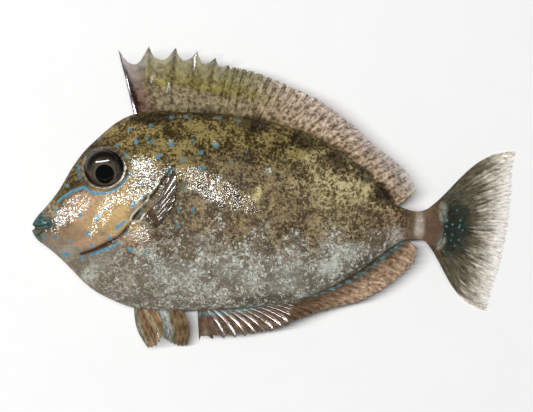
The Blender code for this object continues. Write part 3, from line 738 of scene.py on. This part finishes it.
def buildEye(material, name, node, side):
    cx, cy = eye["centre"]
    wide, high, deep = eye["radii"]
    depth = float(flankZ(np.array([cx]), np.array([cy]))[0]) + eye["bulge"] - deep
    startFresh()
    bpy.ops.mesh.primitive_uv_sphere_add(segments=96, ring_count=64, radius=1)
    ball = bpy.context.object
    x, y, z = pointsOf(ball.data).T
    dome = z + 0.06 * np.sign(z) * bell(np.hypot(x, y), 0.45)
    x, y = x * wide, y * high
    tilt = math.tan(math.radians(eye["tilt"])) * y + math.tan(math.radians(eye["swing"])) * x
    height = dome * deep + middleZ(cx) + side * (tilt + depth)
    moveTo(ball.data, np.column_stack([x + cx, y + cy, height]) * mm)
    ball.data.materials.append(material)
    finishPiece(ball, name, "eye", node)


# Fins: one thin sheet each, with its rays raised on both faces

def makeFinMaterial(name, **settings):
    material, shader = newMaterial(name, roughness=0.25, specular=0.12)
    vector = inMillimetres()
    paint = attribute("paint", "Color")
    ray, solid, share, gloss, specks, flowX, flowY = (
        attribute(layer) for layer in ("ray", "solid", "share", "gloss", "specks", "flowX", "flowY"))
    flow = addNode("ShaderNodeCombineXYZ", {"X": flowX, "Y": times(flowY, 0.3)}).outputs[0]
    stretch = {0: flow, 1: (1.7, 7, 1)}
    dashed = addNode("ShaderNodeVectorMath", stretch, operation="MULTIPLY").outputs[0]
    # Mottling, partly drawn out along the rays
    grainy = noise(vector, 1.7, 5, 0.72, 0.5)
    streaky = noise(flow, 2.2, 5, 0.68, 0.3)
    drawn = settings["streaks"]
    both = plus(times(grainy, 1 - drawn), times(streaky, drawn))
    darker = blend(1, paint, (0.34, 0.29, 0.22, 1), "MULTIPLY")
    lighter = blend(1, paint, (1.75, 1.78, 1.8, 1), "MULTIPLY")
    colour = blend(ramp(both, 0.5, 0.44, 0, settings["mottle"]), paint, darker)
    colour = blend(ramp(both, 0.53, 0.6, 0, settings["mottle"]), colour, lighter)
    # Dark dots in a band above the root
    dots = ramp(cells(vector, settings["dotScale"]), 0.46, 0.28, 0, settings["dots"])
    inBand = ramp(share, settings["dotsEnd"], settings["dotsEnd"] * 0.7)
    dots = times(dots, ramp(grainy, 0.4, 0.5), inBand)
    colour = blend(dots, colour, darker)
    # Rays, broken into dashes, and blue specks
    dashes = ramp(noise(dashed, 1, 3, 0.5), 0.42, 0.56, 1 - settings["broken"], 1)
    ray = times(ray, dashes)
    rayColour = blend(1, colour, settings["rayTint"], "MULTIPLY")
    colour = blend(times(ray, settings["rayShows"]), colour, rayColour)
    specks = times(ramp(cells(vector, 1.25), 0.32, 0.18), specks)
    colour = blend(specks, colour, tone(96, 170, 184))
    uneven = swing(both, -settings["uneven"])
    alpha = plus(solid, times(ray, settings["raySolid"]))
    alpha = maths("ADD", alpha, uneven, clamp=True)
    feed(shader, {"Base Color": colour, "Alpha": alpha})
    addGrain(shader, vector, settings["bump"])
    addFilm(shader, vector, strength=0.02, wet=gloss, roughness=0.1)
    return material


# The same value all over a fin
def steady(value):
    return lambda *where: np.full(np.shape(where[-1]), value)


plainFin = dict(
    split=14, rows=60, ripple=0, wave=0, waveLength=3, frayed=1, late=0,
    spacing=1, bow=steady(0), specks=steady(0),
)


# A fin has the roots and tips of its rays, and functions of (ray share, share along the ray)
def buildFin(fin, material):
    fin = dict(plainFin, **fin)
    roots, tips = np.array(fin["roots"], float), np.array(fin["tips"], float)
    gaps = len(roots) - 1
    startFresh()
    bpy.ops.mesh.primitive_grid_add(x_subdivisions=gaps * fin["split"], y_subdivisions=fin["rows"], size=1)
    sheet = bpy.context.object
    start = pointsOf(sheet.data) + 0.5
    along, out = start[:, 0] * gaps, start[:, 1]
    nearest = np.clip(np.floor(along + 1e-6).astype(int), 0, gaps - 1)
    between = along - nearest
    rayShare = along / gaps
    onward = between[:, None]
    root, tip = (ends[nearest] * (1 - onward) + ends[nearest + 1] * onward for ends in (roots, tips))
    scallop = 4 * between * (1 - between)
    reach = out * (1 - fin["dip"](rayShare) * scallop * smooth(out * 1.5))
    fray = np.abs(np.sin(along * 9.7) * np.sin(along * 3.1 + 1) + 0.5 * np.sin(along * 1.37)) * out**6
    reach = reach * (1 - 0.02 * fray * fin["frayed"])
    line = tip - root
    bend = fin["bow"](rayShare) * 4 * reach * (1 - reach) * (1.5 * reach) ** fin["late"]
    place = root + line * reach[:, None] + np.column_stack([-line[:, 1], line[:, 0]]) * bend[:, None]
    x, y = place.T
    # Each ray is one ridge that splits towards the margin
    offset = np.minimum(between, 1 - between)
    fork = fin["fork"](rayShare) * smooth((out - 0.35) / 0.5)
    ridge = np.maximum(bell(offset - fork, fin["rayWidth"]), bell(offset + fork, fin["rayWidth"]))
    # The first spine can be a stout one, as wide as this share of the first gap
    if "stout" in fin:
        stout = fin["stout"] * (1 - out) + 0.02
        spine = np.minimum(1, 1.12 * bell(between - 0.4 * stout, 0.7 * stout))
        ridge = np.where(nearest == 0, spine, ridge)
    thickness = fin["thin"] + (fin["thick"](rayShare, out) - fin["thin"]) * ridge
    waves = fin["wave"] * wobble(x, y * 0.45, fin["waveLength"], 31) * smooth(out * 1.6)
    z = fin["z"](x, y, reach) + fin["ripple"] * (scallop - 0.5) * smooth(out * 2) + waves
    z = np.maximum(z, 0.5 * thickness + 0.02)
    moveTo(sheet.data, np.column_stack([x, y, z]) * mm)
    thickest = float(thickness.max())
    group = sheet.vertex_groups.new(name="thickness")
    for index, weight in enumerate(thickness / thickest):
        group.add([index], float(weight), "REPLACE")
    paintOn(sheet.data, paint=fin["paint"](x, y, rayShare, out), ray=ridge * smooth(out / 0.4),
            flowX=along * fin["spacing"], flowY=out * np.linalg.norm(line, axis=1), share=out,
            solid=fin["solid"](rayShare, out), gloss=fin["gloss"](rayShare, out) * ridge,
            specks=fin["specks"](rayShare, out))
    sheet.data.materials.append(material)
    pick(sheet)
    shell = sheet.modifiers.new("thickness", "SOLIDIFY")
    shell.thickness = thickest * mm
    shell.offset = 0
    shell.vertex_group = "thickness"
    bpy.ops.object.modifier_apply(modifier=shell.name)
    faceOutwards(sheet)
    finishPiece(sheet, fin["name"], fin["slot"], *fin["nodes"])
    print(fin["name"], "made:", len(sheet.data.polygons), "faces")


def rootsOn(line, xs, inward):
    return np.column_stack([xs, line(xs) - inward])


def onPath(points, count, lean=1):
    return pathThrough(points)(np.linspace(0, 1, count) ** lean)


# Tones across a fin, each at its share of the way from the first ray to the last
def acrossRays(ray, stops):
    places, *shades = np.array(stops).T
    return np.column_stack([np.interp(ray, places, channel) for channel in tone(*shades)])


dorsal = dict(
    spines=((-24, -26.7, 24.75), (-21.5, -21.6, 25.73), (-18.4, -17, 25.4), (-15.4, -13.4, 24.7),
            (-12.7, -10.3, 23.6), (-10.2, -8, 22.5)),
    softRays=27, stout=0.36, softRoots=(-8.7, 20.2),
    margin=((-6.7, 22), (-4, 21.3), (2.1, 18.9), (7.4, 16.3), (12.8, 12.3), (17.6, 8), (21.6, 4.8),
            (23.3, 2.6), (23.9, 0.8)),
)


def dorsalPaint(x, y, ray, share):
    low = 0.36 + 0.05 * wobble(x, y, 2, 61)
    colour = dye(tone(152, 138, 105), tone(150, 138, 70), (share - low) / 0.14)
    pinkish = dye(tone(178, 154, 124), tone(228, 206, 184), (share - 0.1) * 1.4)
    colour = dye(colour, pinkish, smooth((x + 8) / 14))
    colour = addPatches(colour, x, y, 0.25 * wobble(x, y, 1.5, 62) - 0.1, ("dark",))
    base = smooth((0.16 + 0.14 * wobble(x, y, 2.6, 63) - share) / 0.14)
    colour = dye(colour, skinTones["back"], 0.75 * base)
    colour = dye(colour, tone(120, 86, 72), 0.9 * smooth((0.052 - ray - 0.02 * share) / 0.03))
    spine = dorsal["stout"] * (1.1 - share) * 0.03
    return dye(colour, tone(66, 38, 32), 0.95 * smooth((1.5 * spine - ray) / (0.5 * spine)))


def buildDorsal():
    spines, soft = dorsal["spines"], dorsal["softRays"]
    rootXs = np.concatenate([[spine[0] for spine in spines], np.linspace(*dorsal["softRoots"], soft)])
    tips = np.vstack([[spine[1:] for spine in spines], onPath(dorsal["margin"], soft)])
    spinyShare = (len(spines) - 0.5) / (len(tips) - 1)
    fin = dict(
        name="dorsalFin", slot="dorsal_fin", nodes=("dorsal_fin_spiny", "dorsal_fin_soft"),
        roots=rootsOn(backLine, rootXs, 0.5), tips=tips, split=10, rows=44, rayWidth=0.11,
        stout=dorsal["stout"], thin=0.16, ripple=0.08, wave=0.16, waveLength=3.6, frayed=1.5,
        fork=lambda ray: 0.16 * (ray > spinyShare),
        thick=lambda ray, share: np.where(ray < spinyShare, 0.6 - 0.3 * share, 0.36 - 0.18 * share)
        * np.where(ray < 0.03, 1.9, 1),
        dip=lambda ray: np.where(ray < spinyShare, 0.26 - 1.1 * np.clip(ray, 0, 0.17), 0.012),
        z=lambda x, y, share: middleZ(x) - share * (0.35 * smooth((x + 25) / 4)
                                                    + 0.75 * smooth((x + 12) / 10)),
        paint=dorsalPaint,
        gloss=lambda ray, share: smooth((0.02 - ray) / 0.01)
        + 0.5 * (ray < 0.12) * smooth(2 * np.sin(ray * 90 + share * 7)),
        solid=lambda ray, share: 0.9 - 0.45 * smooth((share - 0.2) / 0.7)
        - 0.3 * share * smooth((ray - 0.5) * 2),
    )
    material = makeFinMaterial(
        "dorsalFin",
        bump=0.7, mottle=1, streaks=0.48, dots=0.9, dotScale=1.05, dotsEnd=0.45,
        rayTint=tone(112, 92, 80), rayShows=1, raySolid=0.3, uneven=0.5, broken=0.75)
    buildFin(fin, material)


def analPaint(x, y, ray, share):
    colour = dye(tone(90, 66, 44), tone(116, 90, 62), share)
    rear = dye(tone(88, 68, 44), tone(218, 190, 160), (share - 0.2) * 1.7)
    colour = dye(colour, rear, smooth((x - 4) / 12))
    line = bell(share - 0.23, 0.06) * smooth(0.7 * wobble(x, y, 1.6, 41) + 1.1)
    return dye(colour, tone(88, 136, 142), 0.85 * line)


anal = dict(
    rays=30, rootXs=(-13.4, 21.4),
    margin=((-13.1, -24.4), (-8.8, -24.2), (-4.6, -23.7), (0.3, -22.5), (4.9, -20.5), (9.7, -18.9),
            (14.5, -17.8), (18, -15.9), (21.5, -13.3), (23.6, -10.9), (23.9, -8.8)),
)


def buildAnal():
    base = rootsOn(bellyLine, np.linspace(*anal["rootXs"], 20), -0.5)
    fin = dict(
        name="analFin", slot="anal_fin", nodes=("anal_fin",),
        roots=onPath(base, anal["rays"], 1.25), tips=onPath(anal["margin"], anal["rays"], 0.84),
        split=12, rows=44, rayWidth=0.25, thin=0.15, wave=0.02, waveLength=4.5, frayed=3,
        fork=lambda ray: 0.1 * (ray > 0.45),
        thick=lambda ray, share: 0.24 - 0.02 * share,
        dip=lambda ray: 0.13 - 0.11 * smooth(3 * ray),
        bow=lambda ray: 0.07 * smooth(ray * 6),
        z=lambda x, y, share: middleZ(x) + (0.25 - smooth((x - 1) / 12)) * share,
        paint=analPaint,
        gloss=lambda ray, share: smooth((0.52 - ray) / 0.1) * smooth((ray - 0.02) / 0.05),
        solid=lambda ray, share: 0.95 - 0.25 * smooth((share - 0.4) / 0.6)
        - 0.15 * smooth((ray - 0.6) * 2.5),
    )
    material = makeFinMaterial(
        "analFin",
        bump=0.5, mottle=0.8, streaks=0.7, dots=0.6, dotScale=1, dotsEnd=1.1,
        rayTint=tone(165, 140, 122), rayShows=0.8, raySolid=0.3, uneven=0.3, broken=0.8)
    buildFin(fin, material)


caudal = dict(
    rays=21,
    base=((25.2, -7.5), (26.4, -5.2), (25.2, -2.4)),
    margin=((36.2, -19.7), (36.9, -16.6), (38, -13.4), (39.3, -8), (40.1, -3), (40.5, 2),
            (40.8, 5.6), (41.38, 7.7)),
    tipHeight=0.22,
)


def caudalPaint(x, y, ray, share):
    uneven = 0.06 * wobble(x, y, 2.2, 71)
    lobes = (2 * ray - 1) ** 2
    streak = 0.09 * wobble(ray * 60, share * 5, 3, 73)
    colour = dye(tone(82, 79, 60), tone(124, 117, 96), share * 1.1 + uneven + streak)
    dark = smooth(1.6 - leaned(x, y, 30.3, -5.4, 4.2, 2.7, 85) + 4 * uneven)
    colour = dye(colour, tone(50, 56, 48), 0.9 * dark)
    pale = smooth((share - 0.53 - 0.1 * lobes + 0.5 * uneven + streak) / 0.34)
    colour = dye(colour, tone(248, 240, 224), pale)
    colour = dye(colour, skinTones["stalk"], smooth((28.3 - x + 5 * uneven) / 0.9))
    return addPatches(colour, x, y, 4 * uneven, ("band", "pale", "tailRoot"))


def buildCaudal():
    rootZ = float(middleZ(body["fleshEndX"]))
    fin = dict(
        name="caudalFin", slot="caudal_fin", nodes=("caudal_fin",),
        roots=onPath(caudal["base"], caudal["rays"]), tips=onPath(caudal["margin"], caudal["rays"]),
        fork=steady(0.24), rayWidth=0.12, thin=0.14, ripple=0.03,
        thick=lambda ray, share: 0.5 - 0.3 * share,
        dip=steady(0.012),
        bow=lambda ray: 0.12 * (2 * ray - 1) ** 3,
        late=1, spacing=2.4,
        z=lambda x, y, share: rootZ - (rootZ - caudal["tipHeight"]) * smooth(share / 0.86),
        paint=caudalPaint,
        gloss=steady(0.2),
        solid=lambda ray, share: 0.98 - 0.84 * smooth(
            (share - 0.53 - 0.13 * (2 * ray - 1) ** 2) / 0.4),
        specks=lambda ray, share: 0.8 * smooth((share - 0.14) / 0.05)
        * smooth((0.46 - share) / 0.1) * bell(ray - 0.5, 0.3),
    )
    material = makeFinMaterial(
        "caudalFin",
        bump=0.5, mottle=0.8, streaks=0.75, dots=0.4, dotScale=0.9, dotsEnd=0.6,
        rayTint=tone(205, 198, 188), rayShows=0.45, raySolid=0.1, uneven=0.5, broken=0.5)
    buildFin(fin, material)


def buildPairedFins():
    rays = 7
    material = makeFinMaterial(
        "pairedFins",
        bump=0.4, mottle=0.75, streaks=0.7, dots=0.2, dotScale=1.2, dotsEnd=1,
        rayTint=tone(200, 186, 160), rayShows=0.5, raySolid=0.35, uneven=0.3, broken=0.3)
    pectoral = dict(
        slot="paired_fins", split=18, fork=steady(0), rayWidth=0.24, thin=0.14,
        wave=0.02, waveLength=2.4, frayed=0.5,
        roots=onPath(((-20, -5.3), (-21.2, -4.6), (-22.2, -3.4)), rays),
        tips=onPath(((-18, -2.9), (-17, -0.9), (-16.6, 1.4), (-16.6, 3.4), (-17.2, 4.9)), rays),
        thick=steady(0.165),
        gloss=lambda ray, share: smooth(1.1 + 1.6 * np.sin(ray * 31 + share * 9)),
        dip=steady(0.02),
        bow=lambda ray: 0.05 - 0.1 * ray,
        paint=lambda x, y, ray, share: dye(tone(78, 60, 42), tone(88, 72, 50), share),
        solid=lambda ray, share: 0.96 - 0.3 * smooth((share - 0.3) / 0.6),
    )

    def onLeft(x, y, share):
        skin = middleZ(x) + flankZ(x, y) + relief(x, y)
        lifted = 11.3 + 0.04 * (x + 20) - 0.045 * (y + 1)
        return np.maximum(skin + (lifted - skin) * smooth(share * 3), skin + 0.1)

    def onRight(x, y, share):
        return np.maximum(0.35, middleZ(x) - flankZ(x, y) - 0.6)

    for name, onFlank in (("left", onLeft), ("right", onRight)):
        nodes = ("pectoral_fin_" + name,)
        buildFin(dict(pectoral, name="pectoralFin" + name.title(), nodes=nodes, z=onFlank), material)
    left = dict(
        side=1, hang=0.5, foot=tone(158, 132, 94),
        tones=((0, 132, 134, 116), (0.12, 138, 136, 116), (0.2, 136, 108, 74), (0.42, 128, 101, 69),
               (0.5, 180, 166, 134), (0.58, 182, 166, 132), (0.68, 142, 110, 74), (1, 168, 138, 100)),
        roots=((-24, -18.3), (-22.8, -18.5), (-21.4, -18.7)),
        tips=((-21.6, -25.7), (-20.5, -25.6), (-19.6, -24.4), (-19.3, -22.4)),
    )
    right = dict(
        side=-1, hang=2.6, foot=tone(122, 100, 68),
        tones=((0, 218, 230, 228), (0.38, 210, 222, 218), (0.52, 146, 134, 108),
               (0.66, 128, 104, 74), (1, 120, 100, 72)),
        roots=((-20.8, -18.7), (-18.8, -18.8), (-16.4, -18.8)),
        tips=((-19, -24.2), (-17.7, -25.2), (-16.6, -25.7), (-15.4, -25.6)),
    )
    for name, own in (("left", left), ("right", right)):
        buildFin(dict(
            name="pelvicFin" + name.title(), slot="paired_fins", nodes=("pelvic_fin_" + name,),
            roots=onPath(own["roots"], rays), tips=onPath(own["tips"], rays),
            rayWidth=0.14, thin=0.16, ripple=0.05, wave=0.16, waveLength=2.6, frayed=1.5,
            fork=steady(0.2),
            thick=lambda ray, share: 0.4 - 0.16 * share,
            gloss=steady(0.8),
            dip=steady(0.03),
            bow=lambda ray: -0.1 + 0.26 * ray,
            z=lambda x, y, share, own=own: middleZ(x) + own["side"] * 0.75 - own["hang"] * share,
            paint=lambda x, y, ray, share, own=own: dye(
                acrossRays(ray, own["tones"]), own["foot"], 1.6 * share - 0.9),
            solid=lambda ray, share: 0.9 - 0.3 * smooth((share - 0.4) / 0.6),
        ), material)


# Floor, light and camera

studio = dict(
    cameraHeight=355, aim=(-1.69, -1.61), frameWidth=90.25, fishPlane=5, walls=0.78, ceiling=0.08,
    lampPlace=(-0.24, 0.04, 0.7), lampSize=(0.68, 0.045), lampPower=5.6, lampTurn=8,
)


def buildFloor():
    startFresh()
    bpy.ops.mesh.primitive_plane_add(size=4, location=(0, 0, 0))
    floor = bpy.context.object
    floor.name = "paleFloor"
    material, shader = newMaterial("paleFloor", roughness=0.6)
    weave = noise(inMillimetres(), 0.12, 4, 0.6)
    colour = blend(weave, (0.93, 0.93, 0.93, 1), (0.97, 0.97, 0.965, 1))
    feed(shader, {"Base Color": colour})
    floor.data.materials.append(material)


def addHolder(name, data):
    holder = bpy.data.objects.new(name, data)
    bpy.context.scene.collection.objects.link(holder)
    return holder


# A soft rectangular lamp that looks at the fish, its long side nearly along X
def buildLamp():
    tube = bpy.data.lights.new("tube", "AREA")
    tube.shape = "RECTANGLE"
    tube.size, tube.size_y = studio["lampSize"]
    tube.energy = studio["lampPower"]
    holder = addHolder("tube", tube)
    holder.location = studio["lampPlace"]
    aimed = Vector((0, 0, -1)).rotation_difference(-Vector(studio["lampPlace"])).to_matrix()
    turned = Matrix.Rotation(math.radians(studio["lampTurn"]), 3, "Z")
    holder.rotation_euler = (aimed @ turned).to_euler()


# Pale walls, and a ceiling that is darker right overhead
def buildSurroundings():
    world = bpy.data.worlds.new("studio")
    bpy.context.scene.world = world
    world.use_nodes = True
    desk["tree"] = world.node_tree
    sky = addNode("ShaderNodeTexCoord").outputs["Generated"]
    upward = addNode("ShaderNodeSeparateXYZ", {0: sky}).outputs["Z"]
    strength = ramp(upward, 0.02, 0.45, studio["walls"], studio["ceiling"])
    feed(world.node_tree.nodes["Background"], {"Color": (1, 1, 1, 1), "Strength": strength})


def buildCamera():
    camera = bpy.data.cameras.new("camera")
    camera.sensor_width = 36
    camera.lens = 36 * (studio["cameraHeight"] - studio["fishPlane"]) / studio["frameWidth"]
    camera.clip_start = 0.01
    holder = addHolder("camera", camera)
    holder.location = Vector((*studio["aim"], studio["cameraHeight"])) * mm
    bpy.context.scene.camera = holder
    bpy.context.scene.view_settings.view_transform = "Standard"


buildFloor()
buildSurroundings()
buildLamp()
buildCamera()
print("studio ready")
buildSkin()
eyeMaterial = makeEyeMaterial()
buildEye(eyeMaterial, "eyeLeft", "eye_left", 1)
buildEye(eyeMaterial, "eyeRight", "eye_right", -1)
print("eyes set")
buildDorsal()
buildAnal()
buildCaudal()
buildPairedFins()
